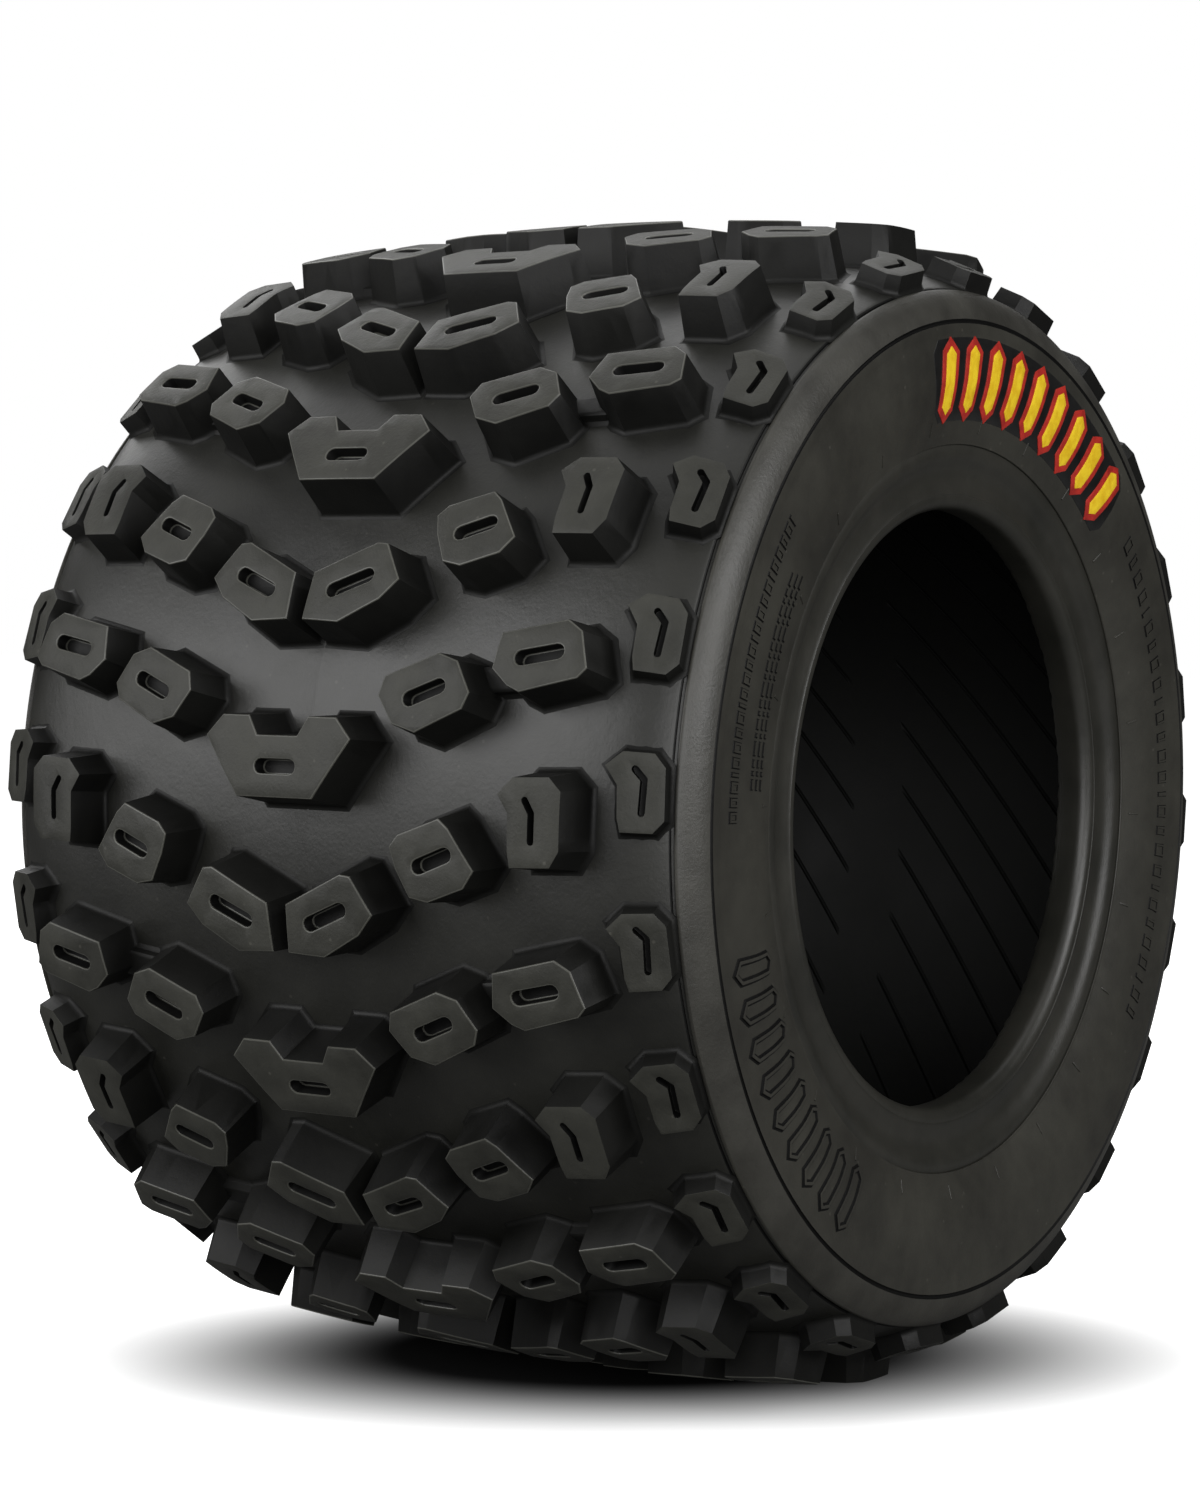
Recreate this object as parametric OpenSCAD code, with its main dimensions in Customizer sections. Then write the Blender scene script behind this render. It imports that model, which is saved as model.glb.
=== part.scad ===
// Bare knobby tyre for the rear wheel of a sport quad.
// Millimetres. The axle is the Y axis, the origin is the centre of the tyre, +Z is up.
// Meridian outlines are lists of [radius, axial place], turned round the axle.
// Knob outlines are lists of [way round, way along the axle] from the knob's own centre.

/* [Tyre] */
// Radius over the tops of the centre knobs
tyre_r = 228.6; // [210:0.2:260]
// Half of the width over the sidewalls
half_width = 156; // [140:1:170]
// Radius of the seat that grips the rim, half of nine inches
bead_seat_r = 114.3; // [104:0.1:122]
// Radius at which the sidewalls stand out furthest
belly_r = 165; // [158:1:175]
// How square the shoulder is, 2 for an ellipse and more for a box
shoulder_power = 4.7; // [3:0.1:7]
// How much lower the knob tops are 100 mm out from the middle
crown_drop = 4; // [0:0.5:8]

/* [Tread] */
// Times the tread pattern repeats round the tyre
pitches = 12; // [11:1:13]
// Height of the centre knobs over the tread band
knob_h = 20; // [12:1:24]
// Height of the low knobs on the shoulders
side_knob_h = 7; // [4:0.5:10]
// How much a knob grows for each millimetre down to its foot
knob_draft = 0.0055; // [0:0.0005:0.008]
// Width of the slots across the knob tops
slot_w = 6; // [3:0.5:7]
// Depth of the slots
slot_depth = 5.5; // [2:0.5:8]
// Width of the thin bent sipes in the shoulder knobs
sipe_w = 2.6; // [1.5:0.1:4]
// Height of the low tie between linked knobs
tie_h = 5; // [2:0.5:8]

/* [Layers] */
// Rubber of the tread band under the knobs
band_t = 4; // [2.5:0.5:6]
// Soft cushion between the band and the plies
cushion_t = 1; // [0.6:0.1:2]
// Rubber outside the plies at the middle of the sidewall
side_t = 3; // [2:0.25:4]
// Extra rubber outside the plies beside the top of the bead filler
side_gain = 2; // [1:0.25:3]
// Thickness of one rubbered ply of cord
ply_t = 1.2; // [0.8:0.1:1.6]
// Thickness of the airtight liner
liner_t = 1.5; // [1:0.1:2.5]

/* [Bead] */
// Thickness of one bead wire
wire_d = 1.1; // [0.9:0.05:1.2]
// Wires across the bundle, and layers of them
wires = 4; // [3:1:5]
// Thickness of the tape round the bundle
wrap_t = 0.5; // [0.3:0.1:0.8]
// Thickness of the hard chafer strip
chafer_t = 2; // [1.5:0.1:2.5]
// Radius of the rounded heel
heel_r = 5; // [3:0.5:6]
// Radius at the top of the bead filler
filler_r = 146; // [142:1:150]
// How far the flat face for the rim flange stands in from the widest place
flange_in = 8.5; // [8:0.5:10]
// Radius where the chafer hands over to the sidewall
chafer_top_r = 130; // [126:1:131]

/* [Side mark] */
// Bars in the painted mark
mark_bars = 9; // [5:1:12]
// Radius of the inner ends of the bars
mark_in_r = 150; // [148:1:154]
// Radius of the outer ends of the bars
mark_out_r = 177; // [172:1:180]
// Thickness of the painted rubber
mark_t = 0.8; // [0.5:0.1:1.2]

/* [Hidden] */
$fn = 96;

RUBBER = "#2b2b28";
INNER_RUBBER = "#3a3a36";
CORD = "#b9ad8d";
STEEL = "#8e9296";
PAINT = "#e8c51b";

pitch = 360 / pitches;
band_r = tyre_r - knob_h;

// ---- Outer meridian of the casing, as [radius, axial place] ----

// From the middle of the tread to the widest place, as a squared-off quarter ellipse
crown_steps = 13;
function crown_point(t) = [
    belly_r + (band_r - belly_r) * pow(cos(t), 2 / shoulder_power),
    half_width * pow(sin(t), 2 / shoulder_power)
];
// Even steps of this angle crowd the points into the shoulder, where the bend is
function crown_angle(i) = 90 * pow(i / crown_steps, 1.6);
crown = [for (i = [0 : crown_steps]) crown_point(crown_angle(i))];

// From the widest place in towards the bead, falling away slowly
flank_fall = 0.0314;
flank_power = 1.595;
flank_steps = 5;
function flank_y(r) = half_width - flank_fall * pow(belly_r - r, flank_power);
flank = [for (i = [1 : flank_steps])
    let (r = belly_r + (filler_r - belly_r) * i / flank_steps) [r, flank_y(r)]];

outer = concat(crown, flank);
last = len(outer) - 1;

// Step number at which the tread hands over to the sidewall
shoulder = 10;

// Unit normal into the rubber at one point of the outer meridian
function unit(v) = v / norm(v);
function inward(i) =
    i == 0 ? [-1, 0] :
    let (d = unit(outer[min(i + 1, last)] - outer[i - 1])) [d[1] * -1, d[0]];

// Depth of the outside of the plies: deep under the tread, thin on the sidewall, deep at the bead
tread_t = band_t + cushion_t;
function ramp(x) = min(max(x, 0), 1);
gain_span = 24;
function ply_depth(i) =
    i <= shoulder ? tread_t :
    let (r = outer[i][0])
    side_t + (tread_t - side_t) * ramp((r - belly_r) / (outer[shoulder][0] - belly_r))
    + side_gain * ramp((filler_r + gain_span - r) / gain_span);

function at_depth(i, d) = outer[i] + inward(i) * d;
function layer_line(extra, from = 0, to = last) =
    [for (i = [from : to]) at_depth(i, ply_depth(i) + extra)];

ply_2_out = layer_line(0);
ply_2_in = layer_line(ply_t);
ply_1_in = layer_line(2 * ply_t);
liner_in = layer_line(2 * ply_t + liner_t);

// ---- Bead, as [radius, axial place] ----

flange_y = half_width - flange_in;
toe_chamfer = 1;
bundle = wires * wire_d + 0.1;
core_out_y = flange_y - chafer_t - 2 * ply_t;
core_in_y = core_out_y - bundle - 2 * wrap_t;
core_r = bead_seat_r + chafer_t + 2 * ply_t;
core_top_r = core_r + bundle + 2 * wrap_t;
liner_end_y = core_in_y - 2 * ply_t - liner_t;
toe_y = liner_end_y - toe_chamfer;

// The bead filler ends in a blunt edge where the plies part round it
apex = ply_2_out[last];
apex_w = 0.8;

// The path of the plies round the bead, at one distance from the core
function round_bead(d) = [
    [core_top_r, core_in_y - d],
    [core_r - d, core_in_y - d],
    [core_r - d, core_out_y + d],
    [core_top_r, core_out_y + d],
    [apex[0], apex[1] + apex_w + d]
];
outer_turn = round_bead(2 * ply_t);

// The place on the turned-up plies where the chafer ends
function turn_up_y(r) = outer_turn[3][1]
    + (outer_turn[4][1] - outer_turn[3][1]) * (r - core_top_r) / (apex[0] - core_top_r);
chafer_end = [chafer_top_r, turn_up_y(chafer_top_r)];

// ---- Shared shapes ----

function reversed(list) = [for (i = [len(list) - 1 : -1 : 0]) list[i]];
function mirrored(list) = [for (p = list) [p[0], -p[1]]];
function rest(list) = [for (i = [1 : len(list) - 1]) list[i]];

// Turns the wheel's own axis from Z to the axle
module on_axle() {
    rotate([-90, 0, 0]) children();
}

// A ring turned round Z from its meridian outline
module ring(outline) {
    rotate_extrude($fn = 120) polygon(outline);
}

// A piece on the left of the tyre (+Y), or its mirror on the right
module on_side(side) {
    mirror([0, side == "left" ? 0 : 1, 0]) on_axle() children();
}

// A layer that runs from bead to bead, from the two lines that bound its half
module full_layer(outside, inside) {
    on_axle() ring(concat(
        reversed(mirrored(outside)), rest(outside),
        reversed(inside), rest(mirrored(inside))
    ));
}

// ---- Casing ----

module inner_liner() {
    color(INNER_RUBBER) full_layer(
        concat(ply_1_in, [[core_top_r, core_in_y - 2 * ply_t]]),
        concat(liner_in, [[core_top_r, liner_end_y]])
    );
}

module casing_ply_1() {
    color(CORD) full_layer(
        concat(ply_2_in, round_bead(ply_t)),
        concat(ply_1_in, round_bead(2 * ply_t))
    );
}

module casing_ply_2() {
    color(CORD) full_layer(
        concat(ply_2_out, round_bead(0)),
        concat(ply_2_in, round_bead(ply_t))
    );
}

// Lines across the tread only, at one depth
function tread_line(d) = [for (i = [0 : shoulder]) at_depth(i, d)];

module tread_cushion() {
    color(INNER_RUBBER) full_layer(tread_line(band_t), tread_line(tread_t));
}

module tread_band() {
    color(RUBBER) full_layer(tread_line(0), tread_line(band_t));
}

// From the tread's edge down to the chafer, over the ends of the turned-up plies
module sidewall(side) {
    rim_line = [139, flank_y(139)];
    color(RUBBER) on_side(side) ring(concat(
        [for (i = [shoulder : last]) outer[i]],
        [rim_line, [chafer_top_r, flange_y], chafer_end, outer_turn[4]],
        [round_bead(ply_t)[4], round_bead(0)[4]],
        [for (i = [last : -1 : shoulder]) ply_2_out[i]]
    ));
}

// ---- Bead ----

// The hard strip that meets the rim, round the foot of the bead
module chafer(side) {
    heel_steps = 6;
    heel = [for (i = [0 : heel_steps]) let (a = 90 * i / heel_steps)
        [bead_seat_r + heel_r * (1 - cos(a)), flange_y - heel_r * (1 - sin(a))]];
    color(RUBBER) on_side(side) ring(concat(
        [chafer_end],
        [outer_turn[3], outer_turn[2], outer_turn[1], outer_turn[0]],
        [[core_top_r, liner_end_y], [core_r - ply_t, toe_y]],
        [[bead_seat_r + toe_chamfer, toe_y], [bead_seat_r, toe_y + toe_chamfer]],
        heel,
        [[chafer_top_r, flange_y]]
    ));
}

module bead_filler(side) {
    color(INNER_RUBBER) on_side(side) ring([
        [core_top_r, core_in_y], apex, round_bead(0)[4], [core_top_r, core_out_y]
    ]);
}

// Tape wound round the wire bundle
module bead_wrap(side) {
    outline_w = bundle + 2 * wrap_t;
    color(CORD) on_side(side) difference() {
        ring([
            [core_r, core_in_y], [core_r + outline_w, core_in_y],
            [core_r + outline_w, core_out_y], [core_r, core_out_y]
        ]);
        ring([
            [core_r + wrap_t, core_in_y + wrap_t], [core_r + wrap_t + bundle, core_in_y + wrap_t],
            [core_r + wrap_t + bundle, core_out_y - wrap_t], [core_r + wrap_t, core_out_y - wrap_t]
        ]);
    }
}

// The bundle of steel hoops, each one a turn of the winding
module bead_wires(side) {
    wire_gap = 0.02;
    first = wrap_t + wire_d / 2 + (bundle - wires * wire_d) / 2;
    color(STEEL) on_side(side)
        for (row = [0 : wires - 1], column = [0 : wires - 1])
            translate([0, 0, core_in_y + first + row * wire_d])
                rotate_extrude($fn = 120)
                    translate([core_r + first + column * wire_d, 0])
                        circle(d = wire_d - wire_gap, $fn = 24);
}

// ---- Knobs ----
// The way round is measured on the tread's own radius. Place [0, 0] is the start of a pitch.

// The pattern is drawn for this radius and half width, and spreads with the tyre's own
drawn_r = 228.6;
drawn_half_width = 156;
function knob_y(place) = place[1] * half_width / drawn_half_width;
function knob_turn(place) = place[0] / drawn_r * 180 / PI;

// The space between the tread band and the knob tops
top_steps = 5;
top_y = half_width - 24;
function drop_at(y) = crown_drop * pow(y / 100, 2);
function drop(place) = drop_at(knob_y(place));
knob_tops = [for (i = [0 : top_steps]) let (y = top_y * i / top_steps) [tyre_r - drop_at(y), y]];
module knob_space() {
    base = [for (i = [0 : shoulder]) outer[i]];
    ring(concat(
        reversed(mirrored(knob_tops)), rest(knob_tops),
        reversed(base), rest(mirrored(base))
    ));
}

// Puts a piece drawn flat at a place on the tread, its Z pointing out of the tyre
module at_place(place) {
    rotate([0, 0, 180 + knob_turn(place)])
        translate([0, 0, knob_y(place)])
            rotate([90, 0, 90])
                children();
}

// A drafted block from inside the band to above the knob tops, true to size at the tops
block_from = band_r - 14;
block_to = tyre_r + 3;
module block(outline) {
    foot = 1 + knob_draft * (tyre_r - block_from);
    head = 1 + knob_draft * (tyre_r - block_to);
    translate([0, 0, block_from])
        linear_extrude(height = block_to - block_from, scale = head / foot)
            polygon(outline * foot);
}

// The outline of a straight groove with round ends
end_steps = 6;
function groove_end(at, from, width) = [for (i = [0 : end_steps])
    let (a = from + 180 * i / end_steps) at + width / 2 * [cos(a), sin(a)]];
function groove(from, to, width) =
    let (a = atan2(to[1] - from[1], to[0] - from[0]))
    concat(groove_end(from, a + 90, width), groove_end(to, a - 90, width));

// Cuts a groove through the given points, down from above
module groove_cut(points, width, bottom, height) {
    for (i = [0 : len(points) - 2])
        translate([0, 0, bottom])
            linear_extrude(height = height)
                polygon(groove(points[i], points[i + 1], width));
}

// One knob: a drafted block with a groove cut into its top
module knob(outline, points, width, drop = 0) {
    slot_bottom = tyre_r - drop - slot_depth;
    difference() {
        block(outline);
        groove_cut(points, width, slot_bottom, block_to - slot_bottom + 1);
    }
}

// All the knobs of one family, trimmed to the band and to the tops
module round_the_tread() {
    on_axle() intersection() {
        for (i = [0 : pitches - 1]) rotate([0, 0, i * pitch]) children();
        knob_space();
    }
}

// Wide block across the middle, with a notch between its two prongs
centre_place = [23, 0];
centre_outline = [[-11, -17], [-11, 17], [10.5, 32.5], [18, 25.5], [18, -25.5], [10.5, -32.5]];
notch_outline = [[11, -9], [11, 9], [20, 14.5], [20, -14.5]];
module centre_knobs() {
    notch_r = band_r + 1.5;
    color(RUBBER) round_the_tread() at_place(centre_place) difference() {
        knob(centre_outline, [[0, -6.5], [0, 6.5]], slot_w);
        translate([0, 0, notch_r])
            linear_extrude(height = block_to - notch_r + 1)
                polygon(notch_outline);
    }
}

// Two blocks that meet in a V, a narrow gap apart
pair_place = [-29.5, 22];
pair_outline = [[-14, -18.5], [3.7, -17.7], [15.5, 7], [15, 11.3], [1.6, 20], [-6, 13.4], [-14.8, -2.6]];
pair_slot = [[-3, -7.6], [2.8, 6.2]];
module pair_knob() {
    at_place(pair_place) knob(pair_outline, pair_slot, slot_w);
}
module pair_knobs() {
    color(RUBBER) round_the_tread() {
        pair_knob();
        mirror([0, 0, 1]) pair_knob();
    }
}

// A middle and an outer block in one row, joined at the foot by a low tie
middle_place = [51, 61.5];
middle_outline = [
    [-1.7, -19], [5.3, -17.2], [14.1, 3.8], [11.5, 11.9],
    [0.6, 18.4], [-5.3, 16], [-14.1, -2.3], [-11.5, -12]
];
outer_place = [66, 105.5];
outer_outline = [
    [-5.5, -17.8], [7.2, -16], [12.8, 9], [9, 15],
    [-4, 19], [-7.5, 15.8], [-13.3, -6], [-11.3, -11]
];
tie_place = [58, 84];
tie_outline = [[-4, -12], [5, -12], [8, 10], [-2, 10]];
module linked_knobs(side) {
    color(RUBBER) mirror([0, side == "left" ? 0 : 1, 0]) round_the_tread() union() {
        at_place(middle_place) knob(middle_outline, [[-2.4, -5.8], [2.4, 5.8]], slot_w, drop(middle_place));
        at_place(outer_place) knob(outer_outline, [[-1.4, -6.8], [1.4, 6.8]], slot_w, drop(outer_place));
        at_place(tie_place)
            translate([0, 0, block_from])
                linear_extrude(height = band_r + tie_h - block_from)
                    polygon(tie_outline);
    }
}

// A block between the rows, beside the pair
slant_place = [-7.5, 69];
slant_outline = [
    [4.3, -18.4], [8.5, -14.9], [14.7, 2], [11.5, 5.9],
    [-2.9, 16.1], [-9.2, 11.6], [-14.6, -3.1], [-13.2, -10.6], [-3.1, -16]
];
module slant_knobs(side) {
    color(RUBBER) mirror([0, side == "left" ? 0 : 1, 0]) round_the_tread()
        at_place(slant_place) knob(slant_outline, [[-2.2, -6.4], [2.2, 4.6]], slot_w, drop(slant_place));
}

// A block at the edge of the tread with a bent sipe and a step in its inner side
hooked_place = [7.5, 108];
hooked_outline = [
    [9.2, -13.3], [15, -7.5], [15.5, 6.6], [10.8, 11.3],
    [-9.5, 10.9], [-15.2, 7.2], [-15.8, -8.4], [-10.4, -9.1], [2.9, -9.1]
];
hooked_sipe = [[-6.6, 0], [3, 0.2], [7.4, -2.4]];
module hooked_knobs(side) {
    color(RUBBER) mirror([0, side == "left" ? 0 : 1, 0]) round_the_tread()
        at_place(hooked_place) knob(hooked_outline, hooked_sipe, sipe_w, drop(hooked_place));
}

// Low blocks on the shoulder, two to a pitch, square to the shoulder's slope
side_slope = 23;
side_turn = 4.86;
side_foot_angle = 49.6;
side_top = crown_point(side_foot_angle) + side_knob_h * [cos(side_slope), sin(side_slope)];
side_outline = [
    [8.9, -12.6], [13.9, -6.6], [13.5, 4.3], [8.7, 8.2],
    [-9.2, 8.5], [-13.5, 4.6], [-13.5, -6.6], [-8.8, -7.8], [2.5, -8.2]
];
side_sipe = [[-6.7, 0.5], [4.6, 1], [8, -2.2]];
module side_knob() {
    sunk = side_knob_h + 8;
    foot = 1 + knob_draft * 3 * sunk;
    sipe_depth = side_knob_h - 3;
    rotate([0, 0, 180 + side_turn])
        translate([side_top[0], 0, side_top[1]])
            rotate([0, -side_slope, 0])
                rotate([90, 0, 90])
                    difference() {
                        translate([0, 0, -sunk])
                            linear_extrude(height = sunk, scale = 1 / foot)
                                polygon(side_outline * foot);
                        groove_cut(side_sipe, sipe_w, -sipe_depth, sipe_depth + 1);
                    }
}
module side_knobs(side) {
    space = concat(
        [for (i = [shoulder - 5 : last - flank_steps]) outer[i]],
        [[belly_r, half_width + 12], [tyre_r, half_width + 12], [tyre_r, outer[shoulder - 5][1]]]
    );
    color(RUBBER) on_side(side) intersection() {
        for (i = [0 : 2 * pitches - 1]) rotate([0, 0, i * pitch / 2]) side_knob();
        ring(space);
    }
}

// ---- Painted mark ----

// A row of slanted bars along the right sidewall
mark_from = 82;
mark_to = 131;
module side_mark() {
    bar_w = 8;
    bar_lean = 6;
    raised = concat(
        [for (i = [last - flank_steps - 3 : last]) outer[i]],
        [for (i = [last : -1 : last - flank_steps - 3]) at_depth(i, -mark_t)]
    );
    color(PAINT) on_side("right") intersection() {
        for (i = [0 : mark_bars - 1])
            rotate([0, 0, 180 + mark_from + (mark_to - mark_from) * i / (mark_bars - 1)])
                translate([0, 0, half_width - 10])
                    linear_extrude(height = 20)
                        polygon([
                            [mark_in_r, -bar_w / 2], [mark_out_r, bar_lean - bar_w / 2],
                            [mark_out_r, bar_lean + bar_w / 2], [mark_in_r, bar_w / 2]
                        ]);
        ring(raised);
    }
}

inner_liner();
casing_ply_1();
casing_ply_2();
tread_cushion();
tread_band();
sidewall("left");  // sidewall_left
sidewall("right");  // sidewall_right
chafer("left");  // chafer_left
chafer("right");  // chafer_right
bead_filler("left");  // bead_filler_left
bead_filler("right");  // bead_filler_right
bead_wrap("left");  // bead_wrap_left
bead_wrap("right");  // bead_wrap_right
bead_wires("left");  // bead_wires_left
bead_wires("right");  // bead_wires_right
centre_knobs();
pair_knobs();
linked_knobs("left");  // linked_knobs_left
linked_knobs("right");  // linked_knobs_right
slant_knobs("left");  // slant_knobs_left
slant_knobs("right");  // slant_knobs_right
hooked_knobs("left");  // hooked_knobs_left
hooked_knobs("right");  // hooked_knobs_right
side_knobs("left");  // side_knobs_left
side_knobs("right");  // side_knobs_right
side_mark();
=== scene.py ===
"""Looks of a bare knobby tyre for the rear wheel of a sport quad.

The axle is the Y axis and the origin is the centre of the tyre. Outlines are worked out in
millimetres, as [radius, axial place] for rings and [way round, way along the axle] for knobs.
"""

import math

import bmesh
import bpy
import numpy as np
from mathutils import Matrix, Vector


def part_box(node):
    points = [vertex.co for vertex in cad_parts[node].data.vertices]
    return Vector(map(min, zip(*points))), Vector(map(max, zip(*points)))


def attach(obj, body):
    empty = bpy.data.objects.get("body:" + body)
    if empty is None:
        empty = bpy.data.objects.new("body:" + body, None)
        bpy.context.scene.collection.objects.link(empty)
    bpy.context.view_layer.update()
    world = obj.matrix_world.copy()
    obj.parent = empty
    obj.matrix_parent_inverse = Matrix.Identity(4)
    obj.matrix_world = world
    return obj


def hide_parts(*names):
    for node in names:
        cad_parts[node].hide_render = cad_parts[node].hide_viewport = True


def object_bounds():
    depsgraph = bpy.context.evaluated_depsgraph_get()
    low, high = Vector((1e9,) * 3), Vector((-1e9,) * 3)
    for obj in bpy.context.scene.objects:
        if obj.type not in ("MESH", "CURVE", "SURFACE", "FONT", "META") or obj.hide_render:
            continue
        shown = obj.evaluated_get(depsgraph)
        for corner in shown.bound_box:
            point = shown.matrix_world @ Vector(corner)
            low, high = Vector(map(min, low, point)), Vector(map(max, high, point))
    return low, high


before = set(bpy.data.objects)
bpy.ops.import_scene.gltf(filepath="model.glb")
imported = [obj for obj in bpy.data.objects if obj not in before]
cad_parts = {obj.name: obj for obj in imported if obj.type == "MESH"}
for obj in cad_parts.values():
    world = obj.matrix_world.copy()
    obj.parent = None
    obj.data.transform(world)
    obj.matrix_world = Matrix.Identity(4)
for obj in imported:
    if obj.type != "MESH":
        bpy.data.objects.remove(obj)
cad_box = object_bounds()

MM = 0.001
ROOT = "root"


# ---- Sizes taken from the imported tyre, in millimetres ----


def radii(node):
    """The smallest and largest radius of a CAD node."""
    places = np.array([v.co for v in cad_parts[node].data.vertices])
    radius = np.hypot(places[:, 0], places[:, 2]) / MM
    return float(radius.min()), float(radius.max())


tyre_r = radii("centre_knobs")[1]
band_r = radii("tread_band")[1]
seat_r = radii("chafer_left")[0]
half_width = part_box("sidewall_left")[1].y / MM
flange_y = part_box("chafer_left")[1].y / MM
toe_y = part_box("chafer_left")[0].y / MM

# Shape of the outside, as it was moulded
belly_r = 165.0
shoulder_power = 4.7
crown_drop = 4.0
flank_fall = 0.0314
flank_power = 1.595
pitches = 12
crown_steps = 52

# Ring pieces
ring_steps = 360
step_r = 196.2  # where the raised ring on the shoulder starts
step_up = 1.1  # how far it stands up
fine_line_r = 184.9  # the thin groove at its inner edge
crease_r = 138.9  # the rim line, where sidewall and chafer meet
heel_line_r = 120.2  # the fine raised line outside the heel
liner_from_r = 125.0

# Knobs
draft = 0.09  # how much a wall moves out for each millimetre down
foot_w = 1.9  # radius of the fillet at the foot of each knob
sunk = 0.5  # how far a knob reaches into the band
edge_round = 0.45
slice_gap = 6.0  # spacing of the cuts that let a knob bend
knob_reach = 42.0  # furthest that any knob reaches from its own centre
side_knob_h = 7.0
side_slope = math.radians(23)
side_turn = math.radians(4.86)
side_top = (207.7, 141.5)  # radius and axial place of a shoulder knob's top


def top_radius(y):
    """Radius of the tread's top, over the knobs, at an axial place."""
    return tyre_r - crown_drop * (y / 100) ** 2


def crown_y(r):
    """Axial place of the shoulder's surface at a radius."""
    share = np.clip((r - belly_r) / (band_r - belly_r), 0, 1)
    return half_width * (1 - share**shoulder_power) ** (1 / shoulder_power)


def band_radius(y):
    """Radius of the tread band at an axial place."""
    share = np.clip(np.abs(y) / half_width, 0, 1)
    return belly_r + (band_r - belly_r) * (1 - share**shoulder_power) ** (1 / shoulder_power)


def side_y(r):
    """Axial place of the sidewall's own surface at a radius."""
    if r >= belly_r:
        return float(crown_y(r))
    return half_width - flank_fall * (belly_r - r) ** flank_power


def side_normal(r):
    """Outward unit normal of the sidewall at a radius, as (radius, axial)."""
    gap = 0.4
    rise = side_y(r + gap) - side_y(r - gap)
    length = math.hypot(rise, 2 * gap)
    return -rise / length, 2 * gap / length


def side_point(r, lift=0.0):
    """A place on the sidewall at a radius, lifted along its normal."""
    n = side_normal(r)
    return [r + lift * n[0], side_y(r) + lift * n[1]]


def crown_angle(i):
    """Steps from the middle of the tread to the widest place, crowded into the middle."""
    return math.radians(90 * (i / crown_steps) ** 1.5)


def mirrored(points):
    """A meridian line's image on the other side, in the opposite order."""
    return [[r, -y] for r, y in reversed(points)]


# ---- Building ----


def select_only(*objects):
    """Selects some pieces and nothing else; the first is the active one."""
    bpy.ops.object.select_all(action="DESELECT")
    for one in objects:
        one.select_set(True)
    bpy.context.view_layer.objects.active = objects[0]


def edit(obj):
    """Opens a piece's mesh for editing, with all of it selected."""
    select_only(obj)
    bpy.ops.object.mode_set(mode="EDIT")
    bpy.ops.mesh.select_mode(type="VERT")
    bpy.ops.mesh.select_all(action="SELECT")


def done(obj):
    """Closes a piece's mesh after editing."""
    bpy.ops.object.mode_set(mode="OBJECT")
    return obj


def smooth(obj, degrees=30):
    """Smooth shading, with edges sharper than an angle kept crisp."""
    select_only(obj)
    bpy.ops.object.shade_smooth_by_angle(angle=math.radians(degrees))
    return obj


def started(name, corners, fill):
    """A circle with its points moved to the given corners."""
    bpy.ops.object.select_all(action="DESELECT")
    bpy.ops.mesh.primitive_circle_add(vertices=len(corners), radius=MM, fill_type=fill)
    obj = bpy.context.object
    obj.name = name
    for vertex, corner in zip(obj.data.vertices, corners):
        vertex.co = Vector(corner) * MM
    return obj


def ring(name, outline):
    """A closed meridian outline spun all the way round the axle."""
    obj = started(name, [(-r, y, 0) for r, y in outline], "NOTHING")
    edit(obj)
    bpy.ops.mesh.spin(
        steps=ring_steps, angle=2 * math.pi, center=(0, 0, 0), axis=(0, 1, 0)
    )
    bpy.ops.mesh.select_all(action="SELECT")
    bpy.ops.mesh.remove_doubles(threshold=0.002 * MM)
    bpy.ops.mesh.normals_make_consistent(inside=False)
    return smooth(done(obj))


def finish_between(obj, low, high, finish):
    """Gives the faces between two radii another of the piece's materials."""
    for face in obj.data.polygons:
        radius = math.hypot(face.center.x, face.center.z) / MM
        if low < radius < high:
            face.material_index = finish


def outset(outline, distance):
    """An outline with each side moved outwards by a distance, corners mitred."""
    points = np.array(outline, float)
    after = np.roll(points, -1, 0)
    turned = np.sum(points[:, 0] * after[:, 1] - points[:, 1] * after[:, 0])
    ahead = after - points
    ahead /= np.linalg.norm(ahead, axis=1)[:, None]
    out = np.sign(turned) * np.stack([ahead[:, 1], -ahead[:, 0]], 1)
    before = np.roll(out, 1, 0)
    mitre = (out + before) / (1 + np.sum(out * before, 1))[:, None]
    return points + distance * mitre


def block(name, outline, levels):
    """A flat outline extruded up through levels, each a (height, outset) pair."""
    height, out = levels[0]
    shape = outset(outline, out)
    obj = started(name, [(u, v, height) for u, v in shape], "NGON")
    edit(obj)
    for above, out_above in levels[1:]:
        bpy.ops.mesh.extrude_region_move(
            TRANSFORM_OT_translate={"value": (0, 0, (above - height) * MM)}
        )
        wanted = outset(outline, out_above)
        mesh = bmesh.from_edit_mesh(obj.data)
        for vertex in (v for v in mesh.verts if v.select):
            here = np.array(vertex.co[:2]) / MM
            nearest = int(np.argmin(np.sum((shape - here) ** 2, 1)))
            vertex.co.x, vertex.co.y = wanted[nearest] * MM
        bmesh.update_edit_mesh(obj.data)
        shape, height = wanted, above
    bpy.ops.mesh.select_all(action="SELECT")
    bpy.ops.mesh.normals_make_consistent(inside=False)
    return done(obj)


def foot_levels(height):
    """Levels of a knob: a sunk skirt, a hollow fillet at the foot, then a drafted wall."""
    wall = draft * (height - foot_w)
    levels = [(-sunk, wall + foot_w + 0.05)]
    for i in range(5):
        a = math.radians(90 * i / 4)
        levels.append((foot_w * (1 - math.cos(a)), wall + foot_w * (1 - math.sin(a))))
    return levels + [(height, 0.0)]


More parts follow.
